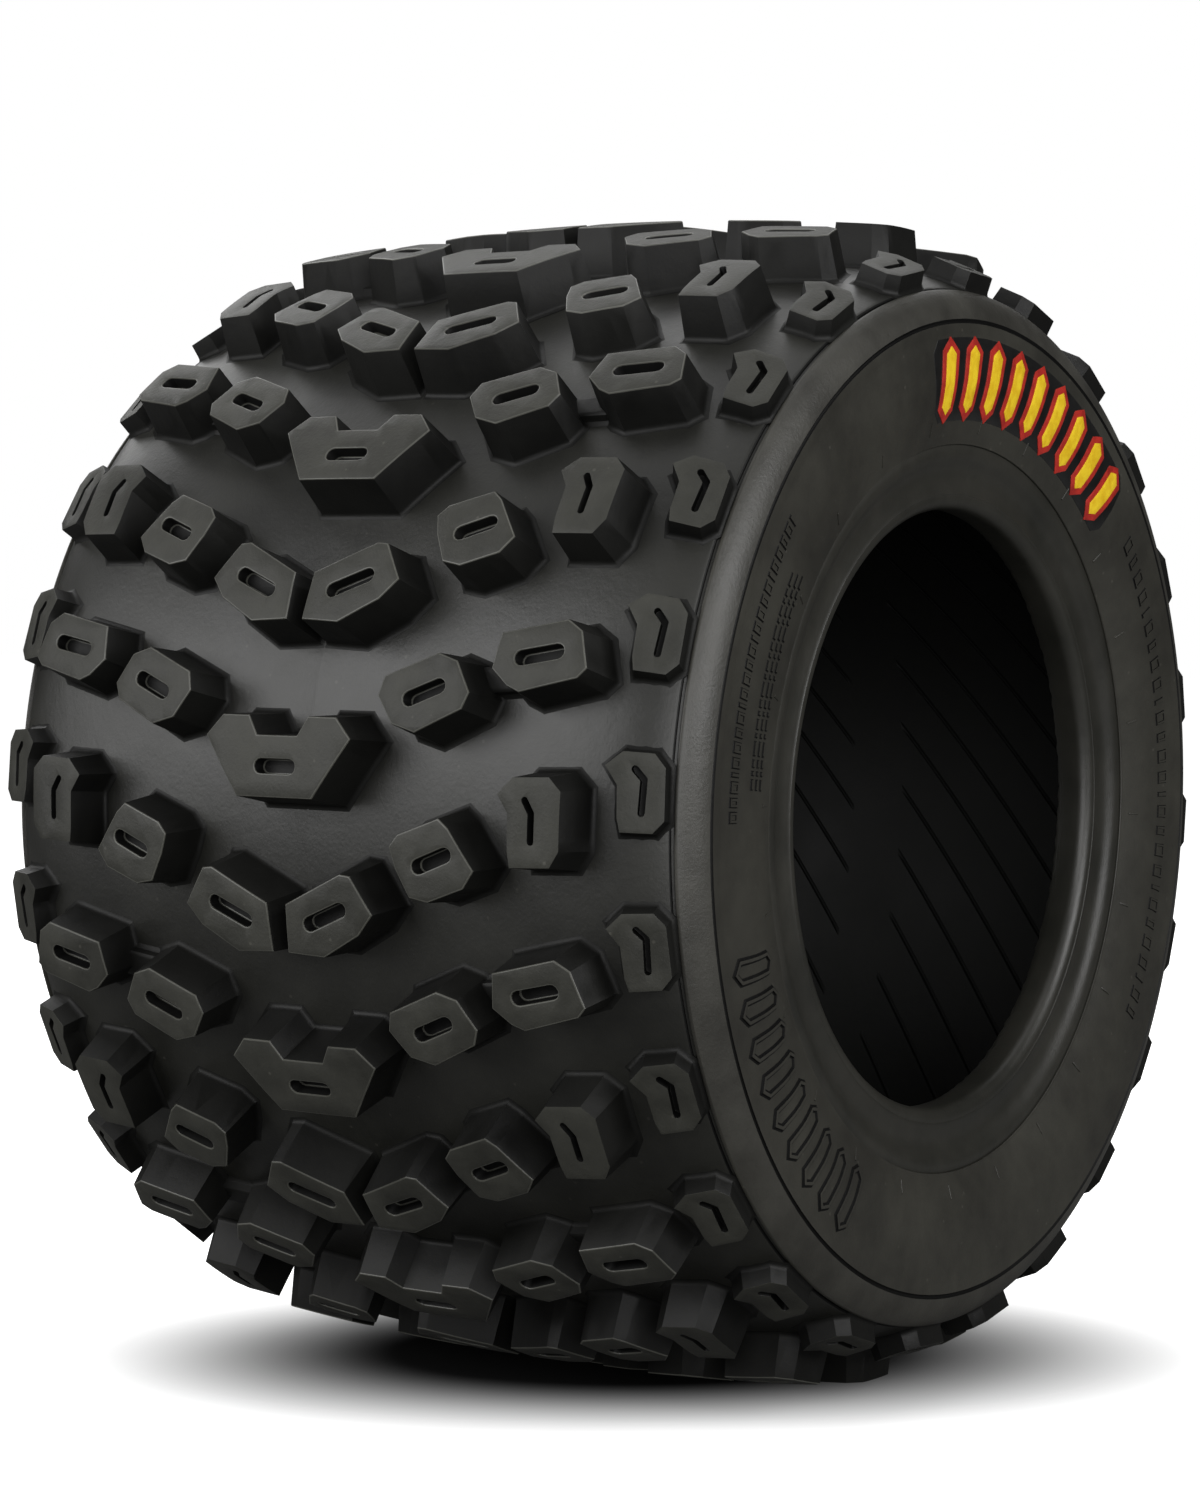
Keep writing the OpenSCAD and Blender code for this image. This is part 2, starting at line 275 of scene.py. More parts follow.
def groove_outline(start, end, width):
    """A straight groove with round ends."""
    start, end = np.array(start, float), np.array(end, float)
    heading = math.atan2(*(end - start)[::-1])
    points = []
    for centre, turn in ((start, heading + math.pi / 2), (end, heading - math.pi / 2)):
        for i in range(7):
            a = turn + math.pi * i / 6
            points.append(centre + width / 2 * np.array([math.cos(a), math.sin(a)]))
    return points


def cut(obj, tool):
    """Takes a tool's shape out of a piece."""
    select_only(obj)
    change = obj.modifiers.new("cut", "BOOLEAN")
    change.operation = "DIFFERENCE"
    change.solver = "EXACT"
    change.object = tool
    bpy.ops.object.modifier_apply(modifier=change.name)
    bpy.data.objects.remove(tool)


def round_edges(obj, above):
    """Rounds the sharp edges above a height and gives the rounds the second material, a painted
    highlight.
    """
    edit(obj)
    bpy.ops.mesh.select_mode(type="EDGE")
    bpy.ops.mesh.select_all(action="DESELECT")
    mesh = bmesh.from_edit_mesh(obj.data)
    for edge in mesh.edges:
        low = min(v.co.z for v in edge.verts)
        edge.select = low > above * MM and edge.calc_face_angle(0) > math.radians(38)
    bmesh.update_edit_mesh(obj.data)
    bpy.ops.mesh.bevel(
        offset=edge_round * MM, segments=2, affect="EDGES", material=1, clamp_overlap=True
    )
    done(obj)


def sliced(obj, spacing, reach_mm):
    """Cuts a flat piece across both ways, so that it can bend."""
    edit(obj)
    for axis in (0, 1):
        across = -reach_mm
        while across <= reach_mm:
            place, normal = [0, 0, 0], [0, 0, 0]
            place[axis], normal[axis] = across * MM, 1
            bpy.ops.mesh.select_all(action="SELECT")
            bpy.ops.mesh.bisect(plane_co=place, plane_no=normal)
            across += spacing
    return done(obj)


def flat_knob(name, outline, height, grooves, width, depth):
    """One knob as drawn flat, its slot cut and its edges rounded."""
    obj = block(name, outline, foot_levels(height))
    for start, end in zip(grooves, grooves[1:]):
        outline_cut = groove_outline(start, end, width)
        cut(obj, block("tool", outline_cut, [(height - depth, 0), (height + 2, 0)]))
    for material in (wall_rubber_shaded, edge_rubber_highlit, top_rubber_lit, hollow_rubber_shaded):
        obj.data.materials.append(material)
    # tops take the rubber painted paler as light, slot faces the dark rubber of painted shade; the
    # walls keep the wall rubber darkened as painted shade
    for face in obj.data.polygons:
        centre = face.center / MM
        if face.normal.z > 0.9 and centre.z > height - 0.1:
            face.material_index = 2
        elif centre.z > height - depth - 0.1 and inside(centre[:2], grooves, width):
            face.material_index = 3
    round_edges(obj, foot_w + 0.1)
    return sliced(obj, slice_gap, knob_reach)


def inside(place, grooves, width):
    """Is a place within a groove's width of its line?"""
    for start, end in zip(grooves, grooves[1:]):
        start, end = np.array(start, float), np.array(end, float)
        along = end - start
        share = np.clip(np.dot(np.array(place) - start, along) / np.dot(along, along), 0, 1)
        if np.linalg.norm(np.array(place) - start - share * along) < width / 2 + 0.1:
            return True
    return False


def ease(share):
    """A share from 0 to 1 that starts and ends gently."""
    share = np.clip(share, 0, 1)
    return share * share * (3 - 2 * share)


def moved_to(obj, places):
    """Gives a piece's points new places, in millimetres."""
    obj.data.vertices.foreach_set("co", (places * MM).astype(np.float32).ravel())
    obj.data.update()
    return obj


def flat_places(obj):
    """A piece's points in millimetres."""
    co = np.empty(len(obj.data.vertices) * 3, np.float32)
    obj.data.vertices.foreach_get("co", co)
    return co.reshape(-1, 3).astype(float) / MM


def on_wheel(out, along, axial, turn):
    """World places from radial, tangential and axial distances at a turn from -X."""
    return np.stack(
        [
            -out * math.cos(turn) + along * math.sin(turn),
            axial,
            out * math.sin(turn) + along * math.cos(turn),
        ],
        1,
    )


def seat_on_tread(obj, place, height):
    """Bends a flat knob to the band at its foot and to the tread's top at its top."""
    u, v, z = flat_places(obj).T
    y = place[1] + v
    foot = np.sqrt(band_radius(y) ** 2 - u**2)
    top = np.sqrt(top_radius(y) ** 2 - u**2)
    share = ease(z / height)
    out = (1 - share) * (foot + z) + share * (top - (height - z))
    return moved_to(obj, on_wheel(out, u, y, place[0] / tyre_r))


def seat_on_shoulder(obj, height):
    """Sets a flat knob square to the shoulder's slope, its foot on the casing."""
    u, v, z = flat_places(obj).T
    c, s = math.cos(side_slope), math.sin(side_slope)
    low, high = np.full(len(u), -25.0), np.full(len(u), 6.0)
    for _ in range(30):
        middle = (low + high) / 2
        out = side_top[0] + middle * c - v * s
        y = side_top[1] + middle * s + v * c
        r = np.hypot(out, u)
        share = np.clip((r - belly_r) / (band_r - belly_r), 0, 2)
        within = share**shoulder_power + (np.abs(y) / half_width) ** shoulder_power < 1
        low, high = np.where(within, middle, low), np.where(within, high, middle)
    share = ease(z / height)
    w = (1 - share) * (low + z) + share * (z - height)
    out = side_top[0] + w * c - v * s
    y = side_top[1] + w * s + v * c
    return moved_to(obj, on_wheel(out, u, y, side_turn))


def copies(obj, count):
    """Copies of a piece round the axle, each with its own mesh; the piece is the first."""
    made = [obj]
    for i in range(1, count):
        other = obj.copy()
        other.data = obj.data.copy()
        bpy.context.scene.collection.objects.link(other)
        other.data.transform(Matrix.Rotation(2 * math.pi * i / count, 4, "Y"))
        made.append(other)
    return made


def other_side(obj):
    """A mirrored copy across the middle of the tyre."""
    other = obj.copy()
    other.data = obj.data.copy()
    bpy.context.scene.collection.objects.link(other)
    other.data.transform(Matrix.Scale(-1, 4, (0, 1, 0)))
    other.data.flip_normals()
    return other


def joined(name, pieces):
    """Several pieces made into one, with a name."""
    select_only(*pieces)
    bpy.ops.object.join()
    obj = bpy.context.object
    obj.name = name
    obj.data.name = name
    return smooth(obj)


def placed(obj, slot, *nodes):
    """Rides on the tyre and stands for its CAD nodes, which it hides; its slot is not used."""
    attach(obj, ROOT)
    if nodes:
        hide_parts(*nodes)
    return obj


# ---- Materials ----


def linear(hex_colour):
    """An sRGB hex colour as linear RGBA."""
    values = [int(hex_colour[i : i + 2], 16) / 255 for i in (1, 3, 5)]
    return [v / 12.92 if v <= 0.04045 else ((v + 0.055) / 1.055) ** 2.4 for v in values] + [1]


def add(tree, kind, settings=None, links=None):
    """Adds a node, with its sockets or properties set and its inputs linked."""
    node = tree.nodes.new(kind)
    for key, value in (settings or {}).items():
        if isinstance(key, str) and hasattr(node, key) and key not in node.inputs:
            setattr(node, key, value)
        else:
            node.inputs[key].default_value = value
    for key, source in (links or {}).items():
        tree.links.new(source, node.inputs[key])
    return node


def rubber(name, dark, light, rough, grain_mm, grain_deep_mm, cloud_mm=45, fleck=0.0, gloss=0.55):
    """Moulded rubber: cloudy tone, fine grain from the mould, and uneven dullness."""
    material = bpy.data.materials.new(name)
    material.use_nodes = True
    tree = material.node_tree
    shader = tree.nodes["Principled BSDF"]
    shader.inputs["IOR"].default_value = 1.5
    shader.inputs["Specular IOR Level"].default_value = gloss
    place = add(tree, "ShaderNodeTexCoord").outputs["Object"]
    cloud = add(
        tree,
        "ShaderNodeTexNoise",
        {"Scale": 1 / (cloud_mm * MM), "Detail": 5.0, "Roughness": 0.55},
        {"Vector": place},
    ).outputs["Fac"]
    scuff = add(
        tree,
        "ShaderNodeTexNoise",
        {"Scale": 1 / (7 * MM), "Detail": 6.0, "Roughness": 0.65},
        {"Vector": place},
    ).outputs["Fac"]
    grain = add(
        tree,
        "ShaderNodeTexNoise",
        {"Scale": 1 / (grain_mm * MM), "Detail": 3.0, "Roughness": 0.6},
        {"Vector": place},
    ).outputs["Fac"]
    tone = add(tree, "ShaderNodeMath", {"operation": "MULTIPLY_ADD", 1: 0.35}, {0: scuff, 2: cloud})
    colour = add(tree, "ShaderNodeValToRGB", None, {"Fac": tone.outputs[0]})
    ramp = colour.color_ramp
    ramp.elements[0].position, ramp.elements[0].color = 0.48, linear(dark)
    ramp.elements[1].position, ramp.elements[1].color = 0.88, linear(light)
    if fleck:
        spots = add(
            tree,
            "ShaderNodeTexVoronoi",
            {"feature": "F1", "Scale": 1 / (9 * MM), "Randomness": 1.0},
            {"Vector": place},
        ).outputs["Distance"]
        dust = add(
            tree,
            "ShaderNodeMapRange",
            {"From Min": 0.05, "From Max": 0.085, "To Min": fleck, "To Max": 0.0},
            {"Value": spots},
        ).outputs[0]
        mix = add(tree, "ShaderNodeMix", {"data_type": "RGBA"}, {"Factor": dust})
        tree.links.new(colour.outputs["Color"], mix.inputs[6])
        mix.inputs[7].default_value = linear("#8f8c82")
        tree.links.new(mix.outputs[2], shader.inputs["Base Color"])
    else:
        tree.links.new(colour.outputs["Color"], shader.inputs["Base Color"])
    dull = add(
        tree,
        "ShaderNodeMapRange",
        {"From Min": 0.3, "From Max": 0.7, "To Min": rough - 0.04, "To Max": rough + 0.06},
        {"Value": cloud},
    )
    tree.links.new(dull.outputs[0], shader.inputs["Roughness"])
    waves = add(
        tree, "ShaderNodeBump", {"Strength": 0.5, "Distance": 0.35 * MM}, {"Height": scuff}
    )
    bump = add(
        tree,
        "ShaderNodeBump",
        {"Strength": 0.6, "Distance": grain_deep_mm * MM},
        {"Height": grain, "Normal": waves.outputs[0]},
    )
    tree.links.new(bump.outputs[0], shader.inputs["Normal"])
    return material


# Cured tread rubber, moulded, for the knobs' walls: darkened as painted shade
wall_rubber_shaded = rubber("painted_shade_wall_rubber", "#0c0c0b", "#141412", 0.5, 0.9, 0.05, gloss=0.22)
# The same rubber on the rounded edges, a little paler as a painted highlight
edge_rubber_highlit = rubber("painted_highlight_edge_rubber", "#3c3c37", "#50504a", 0.38, 0.8, 0.04, gloss=0.45)
# Knob tops: dull from the flat of the mould, and paler than the walls as painted light on the tops
top_rubber_lit = rubber(
    "painted_light_knob_top_rubber", "#262622", "#373732", 0.52, 1.2, 0.2, cloud_mm=30, fleck=0.1, gloss=0.3
)
# Slots, grooves and the flanks of raised marks: dark and dull, as painted shade in the hollows
hollow_rubber_shaded = rubber("painted_shade_slot_rubber", "#060606", "#0b0b0a", 0.55, 1.0, 0.04, gloss=0.2)
# Tread band: smooth moulded rubber with a satin bloom
rubber_band = rubber(
    "satin_band_rubber", "#151512", "#21211d", 0.42, 1.4, 0.11, cloud_mm=60, fleck=0.06, gloss=0.5
)
# Sidewall rubber: softer compound, satin, a shade warmer
rubber_side = rubber(
    "satin_sidewall_rubber", "#262521", "#36352f", 0.46, 1.1, 0.1, cloud_mm=55, fleck=0.08, gloss=0.45
)
# The raised ring on the shoulder: grainier, and a shade paler as a painted sheen
ring_rubber_sheen = rubber("painted_sheen_ring_rubber", "#2b2a26", "#3b3a35", 0.45, 1.3, 0.2, cloud_mm=25)
# Chafer rubber: hard compound, smooth and slightly shinier
rubber_bead = rubber("hard_chafer_rubber", "#1f1f1b", "#2c2b26", 0.4, 0.7, 0.05, cloud_mm=40)

liner_lines = 44.0  # lines round the liner, about 28 mm apart
liner_slant = -6.0  # radians of turn for each metre along the axle


def liner_material():
    """Butyl liner, cured on a grooved bladder: near black, dark butyl darkened further as painted
    shade inside the tyre, with slanting lines.
    """
    material = rubber("ribbed_butyl_liner", "#040403", "#080907", 0.6, 1.2, 0.05, gloss=0.14)
    tree = material.node_tree
    shader = tree.nodes["Principled BSDF"]
    place = add(tree, "ShaderNodeTexCoord").outputs["Object"]
    parts = add(tree, "ShaderNodeSeparateXYZ", None, {0: place})
    turn = add(
        tree, "ShaderNodeMath", {"operation": "ARCTAN2"}, {0: parts.outputs[2], 1: parts.outputs[0]}
    )
    # the bladder's vent lines cross the liner on a slant, the two sides half a step apart
    away = add(tree, "ShaderNodeMath", {"operation": "ABSOLUTE"}, {0: parts.outputs[1]})
    half = add(tree, "ShaderNodeMath", {"operation": "GREATER_THAN", 1: 0.0}, {0: parts.outputs[1]})
    slant = add(
        tree,
        "ShaderNodeMath",
        {"operation": "MULTIPLY_ADD", 1: liner_slant},
        {0: parts.outputs[1], 2: turn.outputs[0]},
    )
    wave = add(
        tree, "ShaderNodeMath", {"operation": "MULTIPLY", 1: liner_lines}, {0: slant.outputs[0]}
    )
    phase = add(
        tree,
        "ShaderNodeMath",
        {"operation": "MULTIPLY_ADD", 1: 2.4},
        {0: half.outputs[0], 2: wave.outputs[0]},
    )
    sine = add(tree, "ShaderNodeMath", {"operation": "SINE"}, {0: phase.outputs[0]})
    line = add(
        tree,
        "ShaderNodeMapRange",
        {"From Min": 0.94, "From Max": 1.0, "To Min": 0.0, "To Max": -1.0},
        {"Value": sine.outputs[0]},
    )
    # the lines stop short of a smooth strip along the middle
    strip = add(
        tree,
        "ShaderNodeMapRange",
        {"From Min": 12 * MM, "From Max": 16 * MM},
        {"Value": away.outputs[0]},
    )
    rib = add(
        tree, "ShaderNodeMath", {"operation": "MULTIPLY"}, {0: line.outputs[0], 1: strip.outputs[0]}
    )
    old = shader.inputs["Normal"].links[0].from_socket
    bump = add(
        tree,
        "ShaderNodeBump",
        {"Strength": 1.0, "Distance": 2.0 * MM},
        {"Height": rib.outputs[0], "Normal": old},
    )
    tree.links.new(bump.outputs[0], shader.inputs["Normal"])
    return material


def stranded(name, dark, light, rough, metallic, spacing_mm, wind):
    """Cord, tape or wire laid round the axle, with its strands drawn across their lay."""
    material = bpy.data.materials.new(name)
    material.use_nodes = True
    tree = material.node_tree
    shader = tree.nodes["Principled BSDF"]
    shader.inputs["Metallic"].default_value = metallic
    place = add(tree, "ShaderNodeTexCoord").outputs["Object"]
    turned = add(tree, "ShaderNodeMapping", {"Rotation": (0, 0, wind)}, {"Vector": place})
    strands = add(
        tree,
        "ShaderNodeTexWave",
        {
            "wave_type": "BANDS",
            "bands_direction": "Y",
            "Scale": 0.314 / (spacing_mm * MM),
            "Distortion": 0.6,
            "Detail": 2.0,
        },
        {"Vector": turned.outputs[0]},
    )
    fuzz = add(
        tree, "ShaderNodeTexNoise", {"Scale": 1 / (1.5 * MM), "Detail": 4.0}, {"Vector": place}
    )
    blend = add(
        tree,
        "ShaderNodeMath",
        {"operation": "MULTIPLY_ADD", 1: 0.5},
        {0: fuzz.outputs["Fac"], 2: strands.outputs["Fac"]},
    )
    colour = add(tree, "ShaderNodeValToRGB", None, {"Fac": blend.outputs[0]})
    colour.color_ramp.elements[0].position = 0.2
    colour.color_ramp.elements[0].color = linear(dark)
    colour.color_ramp.elements[1].color = linear(light)
    tree.links.new(colour.outputs["Color"], shader.inputs["Base Color"])
    dull = add(
        tree,
        "ShaderNodeMapRange",
        {"To Min": rough - 0.1, "To Max": rough + 0.1},
        {"Value": fuzz.outputs["Fac"]},
    )
    tree.links.new(dull.outputs[0], shader.inputs["Roughness"])
    bump = add(
        tree,
        "ShaderNodeBump",
        {"Strength": 0.7, "Distance": 0.15 * MM},
        {"Height": strands.outputs["Fac"]},
    )
    tree.links.new(bump.outputs[0], shader.inputs["Normal"])
    return material


def paint(name, dark, light, rough, coat):
    """Screen paint on rubber: even, with faint mottling and pinholes."""
    material = bpy.data.materials.new(name)
    material.use_nodes = True
    tree = material.node_tree
    shader = tree.nodes["Principled BSDF"]
    shader.inputs["Coat Weight"].default_value = coat
    shader.inputs["Coat Roughness"].default_value = 0.15
    place = add(tree, "ShaderNodeTexCoord").outputs["Object"]
    mottle = add(
        tree,
        "ShaderNodeTexNoise",
        {"Scale": 1 / (5 * MM), "Detail": 5.0, "Roughness": 0.6},
        {"Vector": place},
    )
    colour = add(tree, "ShaderNodeValToRGB", None, {"Fac": mottle.outputs["Fac"]})
    colour.color_ramp.elements[0].position = 0.3
    colour.color_ramp.elements[0].color = linear(dark)
    colour.color_ramp.elements[1].position = 0.6
    colour.color_ramp.elements[1].color = linear(light)
    tree.links.new(colour.outputs["Color"], shader.inputs["Base Color"])
    dull = add(
        tree,
        "ShaderNodeMapRange",
        {"To Min": rough - 0.06, "To Max": rough + 0.1},
        {"Value": mottle.outputs["Fac"]},
    )
    tree.links.new(dull.outputs[0], shader.inputs["Roughness"])
    bump = add(
        tree,
        "ShaderNodeBump",
        {"Strength": 0.4, "Distance": 0.1 * MM},
        {"Height": mottle.outputs["Fac"]},
    )
    tree.links.new(bump.outputs[0], shader.inputs["Normal"])
    return material


liner_rubber = liner_material()
# Nylon tyre cord in its rubber skim: straw brown with fine ribs
ply_cord = stranded("rubbered_nylon_cord", "#6d6350", "#a3977c", 0.75, 0.0, 1.2, 0.6)
# Square-woven wrap tape, dipped: dull tan
wrap_tape = stranded("dipped_wrap_tape", "#8a8070", "#b5aa92", 0.8, 0.0, 1.0, 0.0)
# Bronze-plated high-carbon bead wire, drawn: fine lines and a warm shine
bead_steel = stranded("plated_bead_wire", "#6f675a", "#a89a80", 0.32, 1.0, 0.6, 0.0)
# Green-black filler and cushion compounds, never seen from outside
filler_rubber = rubber("filler_rubber", "#2a2b28", "#3a3b37", 0.6, 1.0, 0.06)
# Screen-printed marking paints: a glossy black ground, red border and yellow face
ground_paint = paint("black_marking_ground", "#0b0b0b", "#141414", 0.3, 0.4)
red_paint = paint("red_marking_paint", "#8e1d17", "#b32a20", 0.42, 0.15)
yellow_paint = paint("yellow_marking_paint", "#d9ab12", "#efcc26", 0.42, 0.15)

# ---- Tread band ----

crown = []
for i in range(crown_steps + 1):
    t = crown_angle(i)
    r = belly_r + (band_r - belly_r) * math.cos(t) ** (2 / shoulder_power)
    if r > step_r + 1.6:
        crown.append([r, half_width * math.sin(t) ** (2 / shoulder_power)])
crown += [
    side_point(step_r + 1.3),
    side_point(step_r + 1.0, -0.25),
    side_point(step_r + 0.8, -0.9),
    side_point(step_r - 0.6, -0.9),
]
seam = [[band_r + 0.08, 0.0], [band_r, 0.6]]  # the mould's parting line round the middle
outer_half = seam + [p for p in crown if p[1] > 1.0]
band_depth = 4.0
inner_half = [[r - band_depth * 0.97, y * 0.975] for r, y in outer_half if y < 144]
band_outline = (
    mirrored(outer_half[1:])
    + outer_half
    + list(reversed(inner_half))
    + [[r, -y] for r, y in inner_half[1:]]
)
band = ring("tread_band_skin", band_outline)
band.data.materials.append(rubber_band)
band.data.materials.append(hollow_rubber_shaded)
# the groove where the band meets the ring takes the dark rubber, painted shade
finish_between(band, step_r - 0.6, step_r + 1.1, 1)
placed(band, "tread_rubber", "tread_band")

# ---- Sidewalls ----

wall_outer = [
    side_point(step_r + 0.3, -1.6),
    side_point(step_r + 0.25, -0.5),
    side_point(step_r + 0.2, 0.75),
    side_point(step_r + 0.0, 1.0),
    side_point(step_r - 0.4, step_up),
]
for r in (193.5, 191.0, 188.5, 186.6):
    wall_outer.append(side_point(r, step_up - 0.25 * (step_r - r) / 10))
for offset, lift in ((0.8, 0.84), (0.5, 0.2), (0.0, -0.15), (-0.5, 0.1), (-0.8, 0.6)):
    wall_outer.append(side_point(fine_line_r + offset, lift))
groove_foot_r = fine_line_r - 0.8
for i in range(1, 7):
    wall_outer.append(side_point(groove_foot_r - 0.7 * i, 0.6 * (1 - i / 6)))
plain_from_r = groove_foot_r - 0.7 * 6
for i in range(1, 15):
    wall_outer.append(side_point(plain_from_r - 2.85 * i))
wall_outer += [
    side_point(crease_r + 0.5),
    side_point(crease_r + 0.25, 0.12),
    side_point(crease_r, -0.1),
    side_point(crease_r - 0.1, -0.9),
]
wall_inner = [[crease_r + 2, side_y(crease_r) - 1.4], [147.0, 151.0]]
for r in (151.0, 156.0, 162.0, 170.0, 178.0, 185.0, 190.0, 194.0):
    wall_inner.append(side_point(r, -3.0))
wall_outline = wall_outer + wall_inner
for side in ("left", "right"):
    turned = wall_outline if side == "left" else mirrored(wall_outline)
    wall = ring("sidewall_skin_" + side, turned)
    wall.data.materials.append(rubber_side)
    wall.data.materials.append(hollow_rubber_shaded)
    wall.data.materials.append(ring_rubber_sheen)
    wall.data.materials.append(edge_rubber_highlit)
    # the ring is painted paler as a sheen, its outer corner as a painted highlight, and the fine
    # groove and rim crease dark as painted shade
    finish_between(wall, fine_line_r + 0.8, step_r - 0.5, 2)
    finish_between(wall, step_r - 0.5, step_r + 0.22, 3)
    finish_between(wall, fine_line_r - 0.8, fine_line_r + 0.8, 1)
    finish_between(wall, crease_r - 0.4, crease_r + 0.1, 1)
    placed(wall, "sidewall_rubber", "sidewall_" + side)

# ---- Chafers and beads ----

heel_round = 5.0
heel = []
for i in range(1, 7):
    a = math.radians(90 * i / 6)
    heel_r = seat_r + heel_round * (1 - math.sin(a))
    heel.append([heel_r, flange_y - heel_round * (1 - math.cos(a))])
bead_outline = (
    [
        [crease_r + 0.6, 148.9],
        [crease_r + 0.1, 149.6],
        [138.2, 149.9],
        [137.0, 150.05],
        [135.6, 149.95],
        [134.2, 149.6],
        [133.0, 149.05],
        [131.9, 148.35],
        [130.8, 147.7],
        [129.6, 147.2],
        [128.2, 146.85],
        [126.6, 146.7],
        [124.8, 146.75],
        [123.2, 146.95],
        [121.8, 147.2],
        [heel_line_r + 0.45, flange_y - 0.15],
        [heel_line_r, flange_y + 0.1],
        [heel_line_r - 0.4, flange_y - 0.1],
        [seat_r + heel_round, flange_y - 0.02],
    ]
    + heel
    + [
        [seat_r + 0.05, 139.5],
        [seat_r + 0.25, 136.5],
        [seat_r + 0.55, toe_y + 1.4],
        [seat_r + 1.0, toe_y + 0.35],
        [seat_r + 1.9, toe_y],
        [seat_r + 3.4, toe_y + 0.1],
        [seat_r + 6.0, toe_y + 0.65],
        [liner_from_r, toe_y + 1.0],
        [liner_from_r + 0.3, 135.2],
        [116.3, 135.2],
        [116.3, 145.5],
        [124.2, 145.5],
        [crease_r + 0.6, 148.3],
    ]
)
for side in ("left", "right"):
    turned = bead_outline if side == "left" else mirrored(bead_outline)
    bead = ring("chafer_skin_" + side, turned)
    # the toe keeps a thin uneven flash from the mould
    places = flat_places(bead)
    radius = np.hypot(places[:, 0], places[:, 2])
    turn = np.arctan2(places[:, 2], places[:, 0])
    at_toe = (np.abs(places[:, 1]) < toe_y + 0.5) & (radius < seat_r + 2.5)
    ragged = 0.28 * np.sin(turn * 47) * np.sin(turn * 31 + 1) + 0.2 * np.sin(turn * 113)
    places[at_toe, 1] += np.sign(places[at_toe, 1]) * (0.35 + ragged[at_toe])
    moved_to(bead, places)
    bead.data.materials.append(rubber_bead)
    placed(bead, "bead_rubber", "chafer_" + side)

# ---- Liner ----


def crown_place(t, lift):
    """A point of the crown at an angle of its squared ellipse, lifted along its normal."""

    def at(angle):
        c, s = math.cos(angle), math.sin(angle)
        power = 2 / shoulder_power
        return np.array([belly_r + (band_r - belly_r) * c**power, half_width * s**power])

    step = 1e-3
    ahead = at(min(t + step, math.pi / 2)) - at(max(t - step, 0))
    ahead /= np.linalg.norm(ahead)
    return list(at(t) + lift * np.array([ahead[1], -ahead[0]]))


liner_deep = 8.9  # band, cushion, two plies and the liner
liner_t = 1.4


def liner_line(extra):
    """A meridian line of the liner from the middle to the flank, at a depth less an extra."""
    lift = extra - liner_deep
    line = [[band_r + lift, 0.0]]
    line += [crown_place(crown_angle(i), lift) for i in range(10, crown_steps)]
    line += [side_point(belly_r - 3.2 * i, lift) for i in range(7)]
    return line


liner_in = liner_line(0.0) + [[142.0, 141.2], [136.0, 138.7], [130.0, 136.2], [124.6, 133.9]]
liner_out = liner_line(liner_t) + [[142.0, 142.8], [136.0, 140.3], [130.0, 137.8], [124.6, 135.4]]
liner_outline = (
    mirrored(liner_out[1:])
    + liner_out
    + list(reversed(liner_in))
    + [[r, -y] for r, y in liner_in[1:]]
)
liner = ring("inner_liner_skin", liner_outline)
liner.data.materials.append(liner_rubber)
placed(liner, "liner_rubber", "inner_liner")

# ---- Tread knobs ----

centre_place = (23, 0)
centre_outline = [
    (-11, -17), (-11, 17), (10.5, 32.5), (18, 25.5), (18, 13.3),
    (11, 9), (11, -9), (18, -13.3), (18, -25.5), (10.5, -32.5),
]
pair_place = (-29.5, 22)
pair_outline = [
    (-14, -18.5), (3.7, -17.7), (15.5, 7), (15, 11.3), (1.6, 20), (-6, 13.4), (-14.8, -2.6),
]
middle_place = (51, 61.5)
middle_outline = [
    (-1.7, -19), (5.3, -17.2), (14.1, 3.8), (11.5, 11.9),
    (0.6, 18.4), (-5.3, 16), (-14.1, -2.3), (-11.5, -12),
]
outer_place = (66, 105.5)
outer_outline = [
    (-5.5, -17.8), (7.2, -16), (12.8, 9), (9, 15),
    (-4, 19), (-7.5, 15.8), (-13.3, -6), (-11.3, -11),
]
tie_place = (58, 84)
tie_outline = [(-4, -12), (5, -12), (8, 10), (-2, 10)]
slant_place = (-7.5, 69)
slant_outline = [
    (4.3, -18.4), (8.5, -14.9), (14.7, 2), (11.5, 5.9), (-2.9, 16.1),
    (-9.2, 11.6), (-14.6, -3.1), (-13.2, -10.6), (-3.1, -16),
]
hooked_place = (7.5, 108)
hooked_outline = [
    (9.2, -13.3), (15, -7.5), (15.5, 6.6), (10.8, 11.3), (-9.5, 10.9),
    (-15.2, 7.2), (-15.8, -8.4), (-10.4, -9.1), (2.9, -9.1),
]
side_outline = [
    (8.9, -12.6), (13.9, -6.6), (13.5, 4.3), (8.7, 8.2), (-9.2, 8.5),
    (-13.5, 4.6), (-13.5, -6.6), (-8.8, -7.8), (2.5, -8.2),
]
slot_w = 5.3
sipe_w = 2.6
slot_depth = 5.5
tie_h = 5.0


def knob_height(place):
    """How far the tread's top stands over the band at a knob's place."""
    return float(top_radius(place[1]) - band_radius(place[1]))


def tread_knob(name, outline, place, grooves, width=slot_w):
    """One knob of the tread, bent to the band at its place."""
    height = knob_height(place)
    return seat_on_tread(
        flat_knob(name, outline, height, grooves, width, slot_depth), place, height
    )


centre = tread_knob("centre", centre_outline, centre_place, [(0, -6.5), (0, 6.5)])
placed(joined("centre_knob_blocks", copies(centre, pitches)), "knob_rubber", "centre_knobs")

pair = tread_knob("pair", pair_outline, pair_place, [(-3, -7.6), (2.8, 6.2)])
both = copies(pair, pitches) + copies(other_side(pair), pitches)
placed(joined("pair_knob_blocks", both), "knob_rubber", "pair_knobs")

